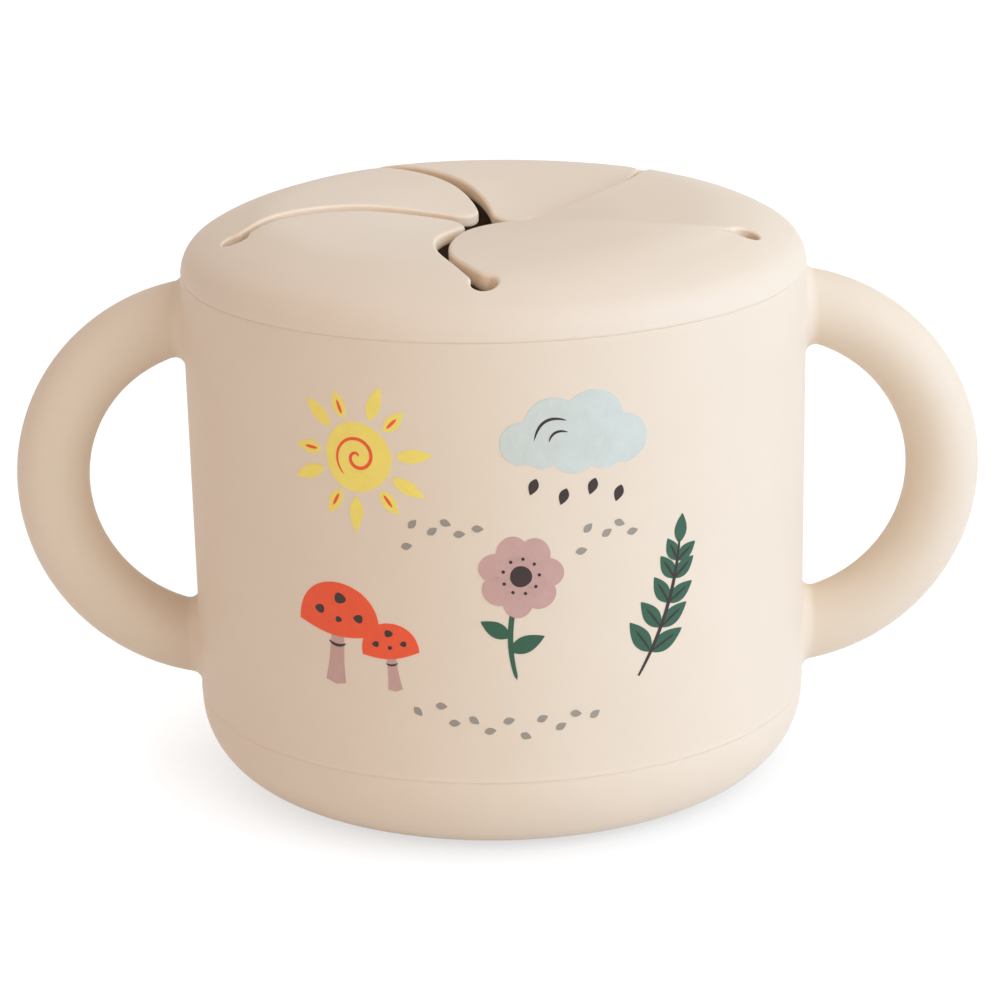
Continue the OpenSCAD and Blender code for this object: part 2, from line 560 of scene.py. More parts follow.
@dataclass(frozen=True)
class Cup:
    """The moulded cup: an upright wall, a dished floor and two ring handles.

    A field that ends in _soft is how far an edge's rounding reaches.
    """

    rim_r: float
    waist_r: float
    seam_z: float
    ring_line_z: float
    lip_z: float
    handle_reach: float
    tube_r: float
    ring_z: float
    corner_r: float = 11.4
    wall: float = 3.6
    floor: float = 4.0
    recess: float = 0.8
    foot: float = 5.0
    edge_r: float = 5.367
    skirt: float = 1.7
    lip_rise: float = 2.8
    lip_soft: float = 0.25
    foot_soft: float = 0.35
    line_soft: float = 0.06
    under_line_soft: float = 0.08  # the same on the floor's side, down the wall
    line_clear: tuple[float, float] = (0.5, 0.4)  # width of the joint's edge, above and below
    foot_clear: tuple[float, float] = (0.5, 0.6)  # width of the recess's edge, inside and outside
    seam_soft: tuple[float, float] = (0.50, 0.15)
    bead_end: float = 1.0  # height above the ring line where the plain wall starts
    seam_start: float = 0.8  # depth below the seam where it ends
    ring_r: float = 25.0
    flare: float = 2.1
    outer_flare: float = 0.58  # the flare's share that is left on the handle's outer side
    root_depth: float = 0.3  # how far a handle's closed end lies inside the wall
    columns: int = 256
    tube_columns: int = 72
    tube_rows: int = 90

    @classmethod
    def from_frame(cls) -> "Cup":
        """Read the main sizes from the boxes of the CAD nodes.

        Returns:
            The cup.
        """
        body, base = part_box("cup_body"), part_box("cup_base")
        lid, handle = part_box("lid_rim"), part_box("handle_right")
        return cls(
            rim_r=lid[1].x / MM, waist_r=base[1].x / MM, seam_z=body[1].z / MM - cls.lip_rise,
            ring_line_z=body[0].z / MM, lip_z=body[1].z / MM, handle_reach=handle[1].x / MM,
            tube_r=handle[1].y / MM, ring_z=(handle[0].z + handle[1].z) / 2 / MM)

    @property
    def mouth_r(self) -> float:
        """Inside radius at the mouth."""
        return self.rim_r - self.wall

    @property
    def bowl_r(self) -> float:
        """Inside radius at the ring line."""
        return self.waist_r - self.wall

    def wall_radius(self, z: Points) -> Points:
        """Outside radius of the wall at a height: a straight taper from ring line to seam."""
        share = (z - self.ring_line_z) / (self.seam_z - self.ring_line_z)
        return self.waist_r + (self.rim_r - self.waist_r) * share

    def bead(self, proud: float = 0.09, low: float = 0.1, peak: float = 0.3,
             high: float = 0.85) -> Points:
        """The faint raised line over the ring line: it rises quickly to its peak and fades upward.

        Args:
            proud: How far its peak stands off the wall.
            low: Height of its start above the ring line.
            peak: Height of its peak.
            high: Height of its end.

        Returns:
            The points (r, z) of its outline.
        """
        z = np.concatenate((np.linspace(low, peak, 6), np.linspace(peak, high, 10)[1:]))
        share = np.where(z < peak, smooth_step((z - low) / (peak - low)),
                         1 - smooth_step((z - peak) / (high - peak)))
        return np.column_stack((self.waist_r + proud * share, self.ring_line_z + z))

    def wall_profile(self) -> Points:
        """The wall's closed outline: a fine bead over the ring line, a soft edge at the seam.

        Returns:
            The points (r, z).
        """
        low_in, low_out = (self.bowl_r, self.ring_line_z), (self.waist_r, self.ring_line_z)
        high_out, step = (self.rim_r, self.seam_z), (self.rim_r - self.skirt, self.seam_z)
        lip_x, lip_r = self.rim_r - self.edge_r, self.edge_r - self.skirt
        turn = math.degrees(math.asin((self.lip_z - self.seam_z) / lip_r))
        top_in, mouth = (self.mouth_r, self.lip_z), (self.mouth_r, self.seam_z)
        return np.vstack((
            straight(low_in, (self.waist_r - self.line_clear[0], self.ring_line_z), 4),
            softened(low_in, low_out, high_out, self.line_soft, self.line_soft, 3),
            self.bead(),
            straight((self.waist_r, self.ring_line_z + self.bead_end),
                     (self.rim_r, self.seam_z - self.seam_start), 40),
            softened(low_out, high_out, step, *self.seam_soft),
            arc((lip_x, self.seam_z), lip_r, 0, turn, 8),
            softened((self.rim_r, self.lip_z), top_in, mouth, self.lip_soft, count=5),
            straight(mouth, low_in, 24)[:-1]))

    def floor_profile(self) -> Points:
        """The floor's outline from axis to axis: recess, foot ring, round corner, dished inside.

        Returns:
            The points (r, z).
        """
        foot_r, dish_r = self.waist_r - self.corner_r, self.corner_r - self.wall
        inner = foot_r - self.foot
        low = self.floor + dish_r
        top_out, top_in = (self.waist_r, self.ring_line_z), (self.bowl_r, self.ring_line_z)
        return np.vstack((
            straight((0, self.recess), (inner - self.foot_clear[0], self.recess), 14),
            softened((0, self.recess), (inner, self.recess), (inner, 0), self.foot_soft, count=5),
            softened((inner, self.recess), (inner, 0), (foot_r, 0), self.foot_soft, count=5),
            straight((inner + self.foot_clear[1], 0), (foot_r, 0), 4),
            arc((foot_r, self.corner_r), self.corner_r, -90, 0, 40),
            softened((self.waist_r, 0), top_out, top_in, self.under_line_soft, self.line_soft, 4),
            straight((self.waist_r - self.line_clear[1], self.ring_line_z), top_in, 4),
            arc((foot_r, low), dish_r, 0, -90, 24),
            straight((foot_r, self.floor), (0, self.floor), 16)))

    def build_wall(self, finish: bpy.types.Material) -> bpy.types.Object:
        """The wall, with the locating lip at its mouth."""
        rows = lathed(self.wall_profile(), self.columns)
        return Skin("cup_wall").add(np.vstack((rows, rows[:1]))).build([finish])

    def build_floor(self, finish: bpy.types.Material) -> bpy.types.Object:
        """The dished floor below the ring line."""
        return Skin("cup_floor").add(lathed(self.floor_profile(), self.columns)).build([finish])

    def tube(self, along: Points, round_angle: Points) -> Points:
        """A point on the handle's ring tube.

        The tube's middle runs on a circle in the XZ plane; the point is
        middle + (R + r cos b)(cos t, 0, sin t) + (0, r sin b, 0).

        Args:
            along: The angle t round the ring, 0 at its outermost point.
            round_angle: The angle b round the tube, 0 on its outer side.

        Returns:
            The points.
        """
        middle_x = self.handle_reach - self.ring_r - self.tube_r
        out = self.ring_r + self.tube_r * np.cos(round_angle)
        y = self.tube_r * np.sin(round_angle) + 0 * along
        return np.stack((middle_x + out * np.cos(along), y, self.ring_z + out * np.sin(along)),
                        axis=-1)

    def handle_foot(self, upper: bool, b: Points, steps: int = 12) -> tuple[Points, Points]:
        """The flared root of a handle, tangent to the tube and to the cup's wall.

        For each line of the tube, the angle where it meets the wall is found by halving. A cubic
        Bezier then leads from the tube, flare short of that point, to the wall, flare beside it.

        Args:
            upper: True for the root near the seam, False for the one near the floor.
            b: The angles round the tube.
            steps: How many rows the flare has.

        Returns:
            The angle at which each tube line ends, and the rows of the root, from tube to wall.
        """
        sign = 1.0 if upper else -1.0
        near, far = (np.full(b.shape, math.radians(a)) for a in ROOT_BETWEEN)
        for _ in range(HALVINGS):
            half = (near + far) / 2
            p = self.tube(sign * half, b)
            outside = np.hypot(p[:, 0], p[:, 1]) > self.wall_radius(p[:, 2])
            near, far = np.where(outside, half, near), np.where(outside, far, half)
        corner = self.tube(sign * near, b)
        reach = self.flare * (1 - (1 - self.outer_flare) * np.maximum(np.cos(b), 0) ** 2)
        end = near - reach / (self.ring_r + self.tube_r * np.cos(b))
        out = np.stack((np.cos(b) * np.cos(near), np.sin(b), sign * np.cos(b) * np.sin(near)),
                       axis=-1)
        flat = np.hypot(corner[:, 0], corner[:, 1])
        radial = np.stack((corner[:, 0] / flat, corner[:, 1] / flat, 0 * flat), axis=-1)
        spread = out - (out * radial).sum(1, keepdims=True) * radial
        spread /= np.linalg.norm(spread, axis=1, keepdims=True)
        on_wall = corner + reach[:, None] * spread
        wall = self.wall_radius(on_wall[:, 2]) / np.hypot(on_wall[:, 0], on_wall[:, 1])
        on_wall[:, :2] *= wall[:, None]
        start = self.tube(sign * end, b)
        s = np.linspace(0, 1, steps)[1:, None, None]
        first, second = (p + BEZIER_PULL * (corner - p) for p in (start, on_wall))
        rows = ((1 - s) ** 3 * start + 3 * s * (1 - s) ** 2 * first
                + 3 * s**2 * (1 - s) * second + s**3 * on_wall)
        sunk = on_wall.copy()
        sunk[:, :2] *= 1 - self.root_depth / self.waist_r
        pole = np.broadcast_to(sunk.mean(0) * POLE_SHIFT, sunk.shape)
        return end, np.concatenate((rows, sunk[None], pole[None]))

    def build_handle(self, name: str, mirrored: bool,
                     finish: bpy.types.Material) -> bpy.types.Object:
        """One ring handle as a closed tube with two flared roots.

        Args:
            name: The piece's name.
            mirrored: True for the handle at -X.
            finish: Its material.

        Returns:
            The handle.
        """
        b = np.linspace(0, 2 * math.pi, self.tube_columns, endpoint=False)
        top_end, top = self.handle_foot(True, b)
        low_end, low = self.handle_foot(False, b)
        s = np.linspace(0, 1, self.tube_rows)[:, None]
        ring = self.tube(-low_end + s * (top_end + low_end), b + 0 * s)
        rows = np.concatenate((low[::-1], ring, top))
        if mirrored:  # a half turn about Z, so that the faces still point outwards
            rows = rows * (-1, -1, 1)
        return Skin(name).add(rows).build([finish])


# ------------------------------------------------------------------------ lid


@dataclass(frozen=True)
class LidShape:
    """The lid's surface of revolution and the plan of its slits, flaps and relief holes."""

    rim_r: float
    top_z: float
    plug_z: float
    seam_z: float
    hinge_r: float
    slit_turn: float
    shoulder: float = 14.2
    edge_turn: float = 58.0
    sag: float = 2.7
    thick: float = 2.35
    tip_thick: float = 1.6
    bow: float = 6.0
    slit: float = 1.8
    hole_r: float = 1.85
    soft_edge: float = 0.5
    edge_fade: float = 0.32
    count: int = 5

    @classmethod
    def from_frame(cls, seam_z: float) -> "LidShape":
        """Read the lid's sizes from its box and from the flaps' hinges.

        Args:
            seam_z: Height of the seam between cup and lid.

        Returns:
            The lid's shape.
        """
        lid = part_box("lid_rim")
        hinge = joint_of("flap_front_right")["pos_m"]
        return cls(rim_r=lid[1].x / MM, top_z=lid[1].z / MM, plug_z=lid[0].z / MM, seam_z=seam_z,
                   hinge_r=math.hypot(hinge[0], hinge[1]) / MM,
                   slit_turn=math.degrees(math.atan2(hinge[1], hinge[0])) - 180 / cls.count)

    @property
    def pitch(self) -> float:
        """Angle between two slits."""
        return 360 / self.count

    @property
    def rise(self) -> float:
        """Height of the lid above the seam."""
        return self.top_z - self.seam_z

    @property
    def hole_x(self) -> float:
        """Distance of the relief holes from the axis."""
        return self.hinge_r / math.cos(math.radians(self.pitch / 2))

    @property
    def root_r(self) -> float:
        """Radius of the circle on which flaps and rim meet."""
        return math.hypot(self.hole_x, self.hole_r)

    @property
    def arc_step(self) -> float:
        """How much larger the shoulder's radius is than the edge's."""
        turn = math.radians(self.edge_turn)
        return (self.shoulder - self.rise) / (math.cos(turn) + math.sin(turn) - 1)

    @property
    def edge_r(self) -> float:
        """Radius of the tight curve at the lid's edge."""
        return self.rise - self.arc_step * (1 - math.sin(math.radians(self.edge_turn)))

    @property
    def shoulder_r(self) -> float:
        """Radius of the shoulder curve."""
        return self.edge_r + self.arc_step

    @property
    def crest_x(self) -> float:
        """Radius of the lid's highest ring."""
        return self.rim_r - self.shoulder

    @property
    def turn_x(self) -> float:
        """Radius at which the shoulder passes into the edge."""
        return self.crest_x + self.shoulder_r * math.cos(math.radians(self.edge_turn))

    def plate(self, r: Points, depth: float = 0.0) -> Points:
        """Height of the lid's top at a radius, lowered by a depth along its normal.

        Inside the highest ring the section is a shallow arc that sags by sag at the axis;
        outside it is the shoulder's arc.

        Args:
            r: Distances from the axis.
            depth: Depth below the outer surface.

        Returns:
            The heights.
        """
        dish_r = (self.crest_x**2 + self.sag**2) / (2 * self.sag)
        fall = (dish_r - depth) ** 2 - np.maximum(self.crest_x - r, 0) ** 2
        inner = self.top_z - dish_r + np.sqrt(fall)
        drop = np.maximum((self.shoulder_r - depth) ** 2 - np.maximum(r - self.crest_x, 0) ** 2, 0)
        outer = self.top_z - self.shoulder_r + np.sqrt(drop)
        return np.where(r < self.crest_x, inner, outer)

    def rounding(self, d: Points) -> Points:
        """The surface's drop at a distance from a free edge: rho - sqrt(rho^2 - (rho - d)^2)."""
        rho = self.soft_edge
        return rho - np.sqrt(np.maximum(rho**2 - (rho - np.clip(d, 0, rho)) ** 2, 0))

    def edge_share(self, d: Points) -> Points:
        """1 at a free edge, falling smoothly to 0 within a short distance from it."""
        return 1 - smooth_step(np.asarray(d) / self.edge_fade)

    def ring_steps(self) -> Points:
        """Distances from a free edge of the rows that make its rounding: rho (1 - cos a)."""
        return self.soft_edge * (1 - np.cos(np.linspace(0, math.pi / 2, FREE_RINGS)))

    def ring_insets(self) -> Points:
        """How far each of those rows has moved off the root circle."""
        return RING_DRIFT * np.arange(FREE_RINGS) / (FREE_RINGS - 1)

    def hole_span(self, d: float, radius: float) -> float:
        """Half the angle that a grown hole takes on a circle, by the law of cosines.

        Args:
            d: How much the hole's radius has grown.
            radius: The circle's radius about the lid's axis.

        Returns:
            The angle in degrees.
        """
        grown = self.hole_r + d
        cosine = (radius**2 + self.hole_x**2 - grown**2) / (2 * radius * self.hole_x)
        return math.degrees(math.acos(cosine))

    def root_angles(self) -> Points:
        """Directions of the points on a flap's root circle, for the flap from slit 0 to slit 1.

        They stand close beside the holes, where the rounding needs them.

        Returns:
            The angles in degrees.
        """
        near = np.array([self.hole_span(d, self.root_r) for d in self.ring_steps()])
        middle = np.linspace(near[-1], self.pitch - near[-1], 44)[1:-1]
        return np.concatenate((near, middle, (self.pitch - near)[::-1]))

    def slit_arcs(self) -> tuple[float, Points, Points]:
        """The radius of the slits' middle lines, (x^2 / 4 + bow^2) / (2 bow), and two middles.

        Returns:
            The radius, the middle of slit 0's arc, and that of slit 1's.
        """
        radius = (self.hole_x**2 / 4 + self.bow**2) / (2 * self.bow)
        middle = np.array([self.hole_x / 2, radius - self.bow])
        return radius, middle, turned(middle, self.pitch)

    def hole_distance(self, xy: Points) -> Points:
        """Distance of points from the nearest relief hole's edge.

        Args:
            xy: Points of the plan, in the frame whose slit 0 runs along +X.

        Returns:
            The distances.
        """
        k = np.arange(self.count) * math.radians(self.pitch)
        holes = self.hole_x * np.stack((np.cos(k), np.sin(k)), axis=-1)
        return np.linalg.norm(xy[..., None, :] - holes, axis=-1).min(-1) - self.hole_r


def joint_of(body: str) -> dict[str, Any]:
    """The frame's joint whose moving body has this name."""
    return next(j for j in frame["joints"] if j["child"] == body)


@dataclass(frozen=True)
class LidRim:
    """The lid outside the flaps: shoulder, skirt, the channel over the lip and the plug ring."""

    shape: LidShape
    skirt: float = 1.6
    plug: float = 1.6
    fit: float = 0.1
    channel: float = 2.9
    channel_turn: float = 4.0  # degrees above the seam where the channel's curve starts
    wall: float = 3.6
    foot_turn: float = 5.5  # degrees above the seam where the edge curve ends
    seam_soft: tuple[float, float] = (0.45, 0.14)
    under_soft: float = 0.2

    def edge_row(self, d: float, inset: float) -> Points:
        """One ring round the rim's inner edge, at a distance from the holes.

        Between holes it runs on the root circle grown by inset, and at each hole on the outer
        half of the hole's circle grown by d.

        Args:
            d: Distance from the holes' edges.
            inset: How far the ring lies outside the root circle.

        Returns:
            The ring's points in plan, in the frame whose slit 0 runs along +X.
        """
        s = self.shape
        radius = s.root_r + inset
        span = s.hole_span(d, radius)
        between = np.radians(np.clip(s.root_angles(), span, s.pitch - span))
        root = radius * np.stack((np.cos(between), np.sin(between)), axis=-1)
        middle = np.array([s.hole_x, 0.0])
        half = bearing(middle, radius * direction(span))
        notch = arc(middle, s.hole_r + d, -half, half, 25)[1:-1]
        sector = np.vstack((root, turned(notch, s.pitch)))
        return np.vstack([turned(sector, k * s.pitch) for k in range(s.count)])

    def section(self) -> Points:
        """The outline (r, z) from the shoulder's end down to the seam and up inside the lid.

        Its parts are the tight edge curve, the soft lower edge, the channel over the cup's lip,
        and the plug ring with its half-round foot.

        Returns:
            The points.
        """
        s = self.shape
        edge_x = s.rim_r - s.edge_r
        lip_r = s.edge_r - self.skirt
        lip_turn = math.degrees(math.asin(self.channel / lip_r))
        bottom, channel_x = (s.rim_r, s.seam_z), edge_x + lip_r
        plug_out = s.rim_r - self.wall - self.fit
        plug_in, half = plug_out - self.plug, self.plug / 2
        under = float(s.plate(np.array(plug_in), s.thick))
        return np.vstack((
            arc((edge_x, s.seam_z), s.edge_r, s.edge_turn, self.foot_turn, 20)[1:],
            softened((s.rim_r, s.top_z), bottom, (channel_x, s.seam_z), *self.seam_soft, 7),
            softened(bottom, (channel_x, s.seam_z), (channel_x, s.top_z), self.under_soft, count=4),
            arc((edge_x, s.seam_z), lip_r, self.channel_turn, lip_turn, 6),
            straight((plug_out, s.seam_z + self.channel), (plug_out, s.plug_z + half), 6),
            arc((plug_out - half, s.plug_z + half), half, 0, -180, 11)[1:-1],
            straight((plug_in, s.plug_z + half), (plug_in, under), 5)))

    def rows(self) -> Points:
        """All rings of the rim: down its inner edge, out along the inside, back over the shoulder.

        Returns:
            The rings, in the frame whose slit 0 runs along +X.
        """
        s = self.shape
        plan = [self.edge_row(d, i) for d, i in zip(s.ring_steps(), s.ring_insets())]
        out: list[Points] = []
        for xy in plan:
            r = np.linalg.norm(xy, axis=1)
            out.append(np.column_stack((xy, s.plate(r) - s.rounding(s.hole_distance(xy)))))
        last = plan[-1]
        r_last = np.linalg.norm(last, axis=1)
        unit = last / r_last[:, None]
        for share in np.linspace(0, 1, 13)[1:]:
            r = r_last + (s.turn_x - r_last) * share
            out.append(np.column_stack((unit * r[:, None], s.plate(r))))
        for r, z in self.section():
            out.append(np.column_stack((unit * r, np.full(len(unit), z))))
        first = plan[0]
        r_first = np.linalg.norm(first, axis=1)
        under = s.plate(r_first, s.thick)
        out.append(np.column_stack((first, under)))
        out.append(np.column_stack((first, (under + out[0][:, 2]) / 2)))
        out.append(out[0])
        return np.stack(out)[::-1]

    def build(self, finish: bpy.types.Material) -> bpy.types.Object:
        """The rim as one closed skin.

        Args:
            finish: Its material.

        Returns:
            The rim.
        """
        s, rows = self.shape, self.rows()
        edge = s.edge_share(s.hole_distance(rows[..., :2]))
        skin = Skin("lid_shoulder").add(turned(rows, s.slit_turn), edge=edge)
        return skin.build([finish])


@dataclass(frozen=True)
class Flap:
    """One flap between two curved slits, with soft edges, lying as it has settled."""

    shape: LidShape
    name: str
    slit_number: int
    tip_lift: float
    left_lift: float
    right_lift: float
    bulge: float
    point_lift: float
    tip_r: float = 3.2
    drift: tuple[float, float] = (-0.88, -0.16)
    fade: float = 4.0  # width in which the lifts fade out at the root, beside its own slit
    next_fade: float = 4.0  # the same beside the next slit
    long_fade: float = 9.0  # the same for the bulge
    left_corner: float = 2.0
    right_corner: float = 1.2
    heart_r: float = 26.0
    heart_turn: float = 28.0
    hump_start: float = 8.0
    hump_reach: float = 12.0
    blunt: float = 0.35  # height kept for the blunt lower edge

    def outline(self, d: float, inset: float) -> Points:
        """The flap's plan, drawn in by d along its free edges, counter-clockwise.

        It is a chain of arcs: root circle, hole 1, corner, slit 1, tip, slit 0, corner, hole 0.
        Each arc keeps its middle and its radius grows or shrinks by d.

        Args:
            d: Distance from the free edges.
            inset: Distance from the root circle.

        Returns:
            The points, in the frame whose slit 0 runs along +X.
        """
        s = self.shape
        slit_r, mid0, mid1 = s.slit_arcs()
        inner, outer = slit_r - s.slit / 2, slit_r + s.slit / 2
        hole0, hole1 = np.array([s.hole_x, 0.0]), turned((s.hole_x, 0.0), s.pitch)
        tip = crossing(mid0, inner - self.tip_r, mid1, outer + self.tip_r, (0, 0))
        heart = self.heart_r * direction(self.heart_turn)
        c0 = crossing(mid0, inner - self.left_corner, hole0, s.hole_r + self.left_corner, heart)
        c1 = crossing(mid1, outer + self.right_corner, hole1, s.hole_r + self.right_corner, heart)
        radius = s.root_r - inset
        span = s.hole_span(d, radius)
        turns = np.clip(s.root_angles(), span, s.pitch - span)
        root = radius * np.stack((np.cos(np.radians(turns)), np.sin(np.radians(turns))), axis=-1)

        def piece(middle: Points, radius: float, start: Points, stop: Points, sense: int,
                  count: int) -> Points:
            """Points on a circle from one bearing to another, less the last.

            Args:
                middle: The circle's middle.
                radius: Its radius.
                start: A point on the first bearing.
                stop: A point on the last bearing.
                sense: 1 to run counter-clockwise, -1 to run clockwise.
                count: How many points, the last among them.

            Returns:
                The points.
            """
            a, b = bearing(middle, start), bearing(middle, stop)
            sweep = (b - a) % 360 if sense > 0 else -((a - b) % 360)
            return arc(middle, radius, a, a + sweep, count)[:-1]

        touch1 = c1 + (c1 - mid1) / np.linalg.norm(c1 - mid1) * -self.right_corner
        touch0 = c0 + (c0 - mid0) / np.linalg.norm(c0 - mid0) * self.left_corner
        tip1 = tip - (tip - mid1) / np.linalg.norm(tip - mid1) * self.tip_r
        tip0 = tip + (tip - mid0) / np.linalg.norm(tip - mid0) * self.tip_r
        return np.vstack((
            root,
            piece(hole1, s.hole_r + d, root[-1], c1, -1, 8)[1:],
            piece(c1, self.right_corner - d, hole1, touch1, 1, 9),
            piece(mid1, outer + d, touch1, tip1, -1, 56),
            piece(tip, self.tip_r - d, tip1, tip0, 1, 22),
            piece(mid0, inner - d, tip0, touch0, 1, 56),
            piece(c0, self.left_corner - d, touch0, hole0, 1, 11),
            piece(hole0, s.hole_r + d, c0, root[0], -1, 14)))

    def settle(self, xy: Points) -> Points:
        """How far the flap lies above the moulded surface.

        With w falling from 1 at the axis to 0 at the root circle, it is the tip's lift times w,
        plus the point's lift times w^4, plus the sides' lift times 4 w (1 - w). That fades out at
        the root over one width beside the flap's own slit and another beside the next. A bulge
        with a longer fade is added.

        Args:
            xy: Points of the plan.

        Returns:
            The heights.
        """
        s = self.shape
        slit_r, mid0, mid1 = s.slit_arcs()
        left = np.maximum(slit_r - np.linalg.norm(xy - mid0, axis=-1), 0)
        right = np.maximum(np.linalg.norm(xy - mid1, axis=-1) - slit_r, 0)
        share = left / np.maximum(left + right, 1e-6)
        side = self.left_lift * (1 - share) + self.right_lift * share
        r = np.linalg.norm(xy, axis=-1)
        w = np.clip(1 - r / s.root_r, 0, 1)
        fade = self.fade + (self.next_fade - self.fade) * share
        free = smooth_step((s.root_r - r) / fade)
        hump = smooth_step((r - self.hump_start) / self.hump_reach)
        tip = self.tip_lift * w + self.point_lift * w**4
        swell = self.bulge * hump * smooth_step((s.root_r - r) / self.long_fade)
        return free * (tip + side * 4 * w * (1 - w)) + swell

    def rows(self) -> tuple[Points, Points]:
        """The flap's rings: under its heart, out to its edge, up the edge, and back over the top.

        Returns:
            The rings' points, and how near each is to the wall of a slit, from 0 to 1.
        """
        s = self.shape
        steps = s.ring_steps()
        rings = [self.outline(d, i) for d, i in zip(steps, s.ring_insets())]
        heart = self.heart_r * direction(self.heart_turn)
        root_n = s.root_angles().size

        def top(xy: Points) -> Points:
            """Heights of the top surface over the plan's points."""
            return s.plate(np.linalg.norm(xy, axis=-1)) + self.settle(xy)

        def near(xy: Points, d: float) -> Points:
            """Distances from the nearest free edge.

            Args:
                xy: A ring's points.
                d: How far the ring keeps from the slits.

            Returns:
                A distance for each point.
            """
            gap = np.full(len(xy), d)
            gap[:root_n] = np.maximum(s.hole_distance(xy[:root_n]), d)
            return gap

        gaps = [near(xy, d) for d, xy in zip(steps, rings)]
        over = [np.column_stack((xy, top(xy) - s.rounding(gap))) for gap, xy in zip(gaps, rings)]
        shares = [s.edge_share(gap) for gap in gaps]
        for part in np.linspace(1, 0, TOP_RINGS)[1:]:
            xy = heart + (rings[-1] - heart) * part
            over.append(np.column_stack((xy, top(xy))))
            shares.append(np.zeros(len(xy)))

        outer, under_edge, under_inner = rings[0], rings[3], rings[5]
        low = [heart + (under_inner - heart) * part for part in np.linspace(0, 1, LOW_RINGS)[:-1]]
        below = [np.column_stack((xy, self.underside(xy))) for xy in (*low, under_edge)]
        foot, high = self.underside(outer), over[0][:, 2]
        wall = [foot + self.blunt * 0.6]
        wall += [foot + self.blunt + (high - foot - self.blunt) * part for part in (0.35, 0.7)]
        low_shares = [np.zeros(len(outer))] * len(below) + [shares[0]] * len(wall)
        below += [np.column_stack((outer, z)) for z in wall]

        grid = np.stack(below + over)
        free = np.clip(1 - np.hypot(grid[..., 0], grid[..., 1]) / s.root_r, 0, 1)
        points = turned(grid, s.slit_turn + self.slit_number * s.pitch)
        points[..., :2] += np.array(self.drift) * free[..., None]
        return points, np.stack(low_shares + shares)

    def underside(self, xy: Points) -> Points:
        """Heights of the flap's lower face: settled like its top, and thinner towards the tip.

        Args:
            xy: Points of the plan.

        Returns:
            The heights.
        """
        s = self.shape
        r = np.linalg.norm(xy, axis=-1)
        thick = s.tip_thick + (s.thick - s.tip_thick) * smooth_step(r / s.crest_x)
        return s.plate(r, thick) + self.settle(xy)

    def build(self, finish: bpy.types.Material) -> bpy.types.Object:
        """The flap as one closed skin.

        Args:
            finish: Its material.

        Returns:
            The flap.
        """
        rows, edge = self.rows()
        piece = Skin(self.name + "_skin").add(rows, edge=edge).build([finish])
        hinge = Vector(joint_of(self.name)["pos_m"])
        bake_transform(piece)
        return piece


# ---------------------------------------------------------------------- print


@dataclass
class Print:
    """Motifs printed on the cup: thin closed sheets of ink that follow the wall."""

    cup: Cup
    name: str
    middle_u: float
    middle_z: float
    tilt: float = 0.0
    scale: float = 1.0
    proud: float = 0.05
    sunk: float = 0.08  # how far the ink's closed back lies inside the wall
    layer_step: float = 0.025
    patches: list[tuple[Points, Inks]] = field(default_factory=list)

    def on_wall(self, uv: Points, lift: Points | float) -> Points:
        """Lay points of the drawing on the cup.

        The drawing is turned, scaled and moved; its u then runs along the wall and its v up it:
        a = u / R - 90 degrees, point = ((R + lift) cos a, (R + lift) sin a, v).

        Args:
            uv: Points of the drawing.
            lift: How far each lies off the wall.

        Returns:
            The points in space.
        """
        laid = self.scale * turned(uv, self.tilt) + (self.middle_u, self.middle_z)
        a, z = laid[..., 0] / self.cup.rim_r - math.pi / 2, laid[..., 1]
        r = self.cup.wall_radius(z) + lift
        return np.stack((r * np.cos(a), r * np.sin(a), z), axis=-1)

    def blob(self, ink: Inks, outline: Points, layer: int = 0, rings: int = 6) -> None:
        """Add a patch of ink inside a star-shaped outline.

        Ring s of the patch is middle + s (outline - middle), with a short wall round it.

        Args:
            ink: Its ink.
            outline: The outline's points, counter-clockwise.
            layer: Inks of a higher layer lie over the others.
            rings: How many rings fill it.
        """
        middle = outline.mean(0)
        face = middle + np.linspace(0, 1, rings)[:, None, None] * (outline - middle)
        under = self.on_wall(face, -self.sunk)
        over = self.on_wall(face[::-1], self.proud + self.layer_step * layer)
        self.patches.append((np.concatenate((under, over)), ink))

    def stroke(self, ink: Inks, path: Points, width: Points, layer: int = 1) -> None:
        """Add a brush stroke: a ribbon along a path, whose width changes along it.

        Args:
            ink: Its ink.
            path: The stroke's middle line.
            width: Its width at each point; it comes to a point where this is 0.
            layer: Inks of a higher layer lie over the others.
        """
        along = np.gradient(path, axis=0)
        along /= np.maximum(np.linalg.norm(along, axis=1, keepdims=True), 1e-9)
        across = np.stack((-along[:, 1], along[:, 0]), axis=-1) * np.asarray(width)[:, None] / 2
        high = self.proud + self.layer_step * layer
        sides = np.stack((path - across, path + across, path + across, path, path - across), axis=1)
        lift = np.array([-self.sunk, -self.sunk, high, high, high])
        self.patches.append((self.on_wall(sides, lift)[::-1], ink))

    def build(self, inks: dict[Inks, bpy.types.Material]) -> bpy.types.Object:
        """The motif as one piece with a material for each of its inks.

        Args:
            inks: The materials of all inks.

        Returns:
            The motif.
        """
        used = list(dict.fromkeys(ink for _, ink in self.patches))
        skin = Skin(self.name)
        for rows, ink in self.patches:
            skin.add(rows, used.index(ink))
        piece = skin.build([inks[ink] for ink in used])
        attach(piece, "cup")
        return piece


